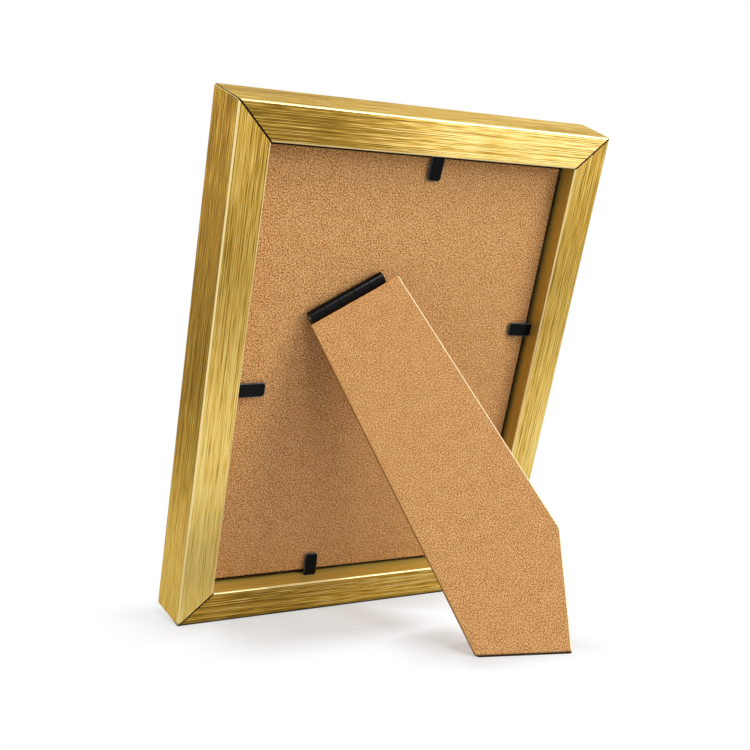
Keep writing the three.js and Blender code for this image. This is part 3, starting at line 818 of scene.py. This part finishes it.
def white_sweep(shades):
    """White paint as it is lit in the painted shadow zones, with any real shadow there, and plain white
    further off.

    The paint greys well behind the frame, which keeps the light that it throws back off the board.
    """
    material, tree = new_material("white_sweep")
    spot = add_node(tree, "TexCoord", {}).outputs["Object"]
    parts = add_node(tree, "SeparateXYZ", {"Vector": spot}).outputs
    pale = {"Value": parts["Y"], "From Min": greying[0], "From Max": greying[1]}
    pale = add_node(tree, "MapRange", pale | {"To Min": 1, "To Max": white_left})
    paint = {0: pale.outputs["Result"], 6: linear(floor_grey), 7: linear(floor_white)}
    paint = add_node(tree, "Mix", paint, data_type="RGBA")
    paint = {"Base Color": paint.outputs[2], "Roughness": 0.3, "Specular IOR Level": 0.3}
    paint = add_node(tree, "BsdfPrincipled", paint)
    white = add_node(tree, "Emission", {"Strength": 1.0})
    seen = {0: clear_of_shades(tree, spot, shades), 1: background_rays(tree)}
    seen = add_node(tree, "Math", seen, operation="MULTIPLY")
    mix = {0: seen.outputs[0], 1: paint.outputs["BSDF"], 2: white.outputs["Emission"]}
    mix = add_node(tree, "MixShader", mix)

    rays = add_node(tree, "LightPath", {}).outputs
    direct = add_node(tree, "Math", {0: rays["Diffuse Depth"], 1: 0.5}, operation="LESS_THAN")
    glossy = {0: rays["Is Glossy Ray"], 1: direct.outputs[0]}
    glossy = add_node(tree, "Math", glossy, operation="MULTIPLY")
    mirrored = mirrored_floor(tree, sideways=parts["X"], behind=parts["Y"])
    mix = add_node(tree, "MixShader", {0: glossy.outputs[0], 1: mix.outputs["Shader"], 2: mirrored})
    add_node(tree, "OutputMaterial", {"Surface": mix.outputs["Shader"]})
    return material


rail_low, rail_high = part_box("rail_bottom")
foot_height_mm = 1.5
foot_points = [v.co for v in frame["nodes"]["easel_leg"].data.vertices if v.co.z < foot_height_mm * mm]
foot_low, foot_high = [Vector([pick(p[i] for p in foot_points) for i in range(3)]) for pick in (min, max)]

# Each shade is a painted shadow zone fixed in place. It has two corners, the share of plain white that is
# left within it and the distance of its fade.
under_rail = (rail_low, rail_high)
behind_rail = (Vector((0.01, rail_high.y, 0)), Vector((0.055, rail_high.y + 0.028, 0)))
under_leg = (Vector((-0.006, 0.022, 0)), Vector((0.002, foot_low.y - 0.007, 0)))
before_foot = (foot_low - Vector((0.006, 0.012, 0)), foot_high - Vector((0, 0.008, 0)))
shades = [
    (*under_rail, 0.6, 0.03),
    (*behind_rail, 0.45, 0.038),
    (*under_leg, 0.55, 0.026),
    (*before_foot, 0.45, 0.016),
]
corners = [(x * floor_reach, y * floor_reach, 0) for x, y in [(-1, -1), (1, -1), (1, 1), (-1, 1)]]
floor_mesh = bpy.data.meshes.new("floor")
floor_mesh.from_pydata(corners, [], [(0, 1, 2, 3)])
floor_mesh.materials.append(white_sweep(shades))
floor = bpy.data.objects.new("floor", floor_mesh)
bpy.context.scene.collection.objects.link(floor)


# Camera
# Behind the frame at about half its height, to the left of its middle as seen from there, and looking down
# a little. Its focal length is given in pixels of a square picture.
eye = Vector((0.2138, 0.3786, 0.1182))
turn_deg = 180 - 28.05
dip_deg = 2.19
picture_px = 750
focal_px = 1085
sensor_mm = 36
camera_data = bpy.data.cameras.new("camera")
camera_data.sensor_width = sensor_mm
camera_data.lens = focal_px / picture_px * sensor_mm
camera_data.clip_start = 0.01
camera = bpy.data.objects.new("camera", camera_data)
camera.location = eye
camera.rotation_euler = (math.radians(90 - dip_deg), 0, math.radians(turn_deg))
bpy.context.scene.collection.objects.link(camera)
bpy.context.scene.camera = camera


# Light
# A soft box to the right of the camera and a smaller one above it light the back of the frame.
# Two wide, weaker ones light its front, and a white room lights the rest and shows in metal and glass.
def soft_box(name, place, aim, size, watts):
    """A square area lamp, aimed at a point."""
    data = bpy.data.lights.new(name, "AREA")
    data.size = size
    data.energy = watts
    lamp = bpy.data.objects.new(name, data)
    lamp.location = place
    lamp.rotation_euler = (Vector(aim) - Vector(place)).to_track_quat("-Z", "Y").to_euler()
    bpy.context.scene.collection.objects.link(lamp)


middle = (cad_box[0] + cad_box[1]) / 2
soft_box("key", place=(-0.65, 0.90, 0.50), aim=middle, size=0.6, watts=9)
soft_box("top", place=(0.15, 0.80, 1.05), aim=middle, size=0.3, watts=7)
soft_box("rim", place=(-0.70, -0.95, 0.90), aim=middle, size=0.9, watts=1.4)
soft_box("front", place=(0.45, -1.10, 0.80), aim=middle, size=1.2, watts=5)

room_strength = 0.24
world = bpy.data.worlds.new("white_room")
world.use_nodes = True
room = world.node_tree
room.nodes.clear()
dim = add_node(room, "Background", {"Color": (1, 1, 1, 1), "Strength": room_strength})
white = add_node(room, "Background", {"Color": (1, 1, 1, 1), "Strength": 1.0})
mix = {0: background_rays(room), 1: dim.outputs["Background"], 2: white.outputs["Background"]}
mix = add_node(room, "MixShader", mix)
add_node(room, "OutputWorld", {"Surface": mix.outputs["Shader"]})
bpy.context.scene.world = world
bpy.context.scene.view_settings.view_transform = "Standard"
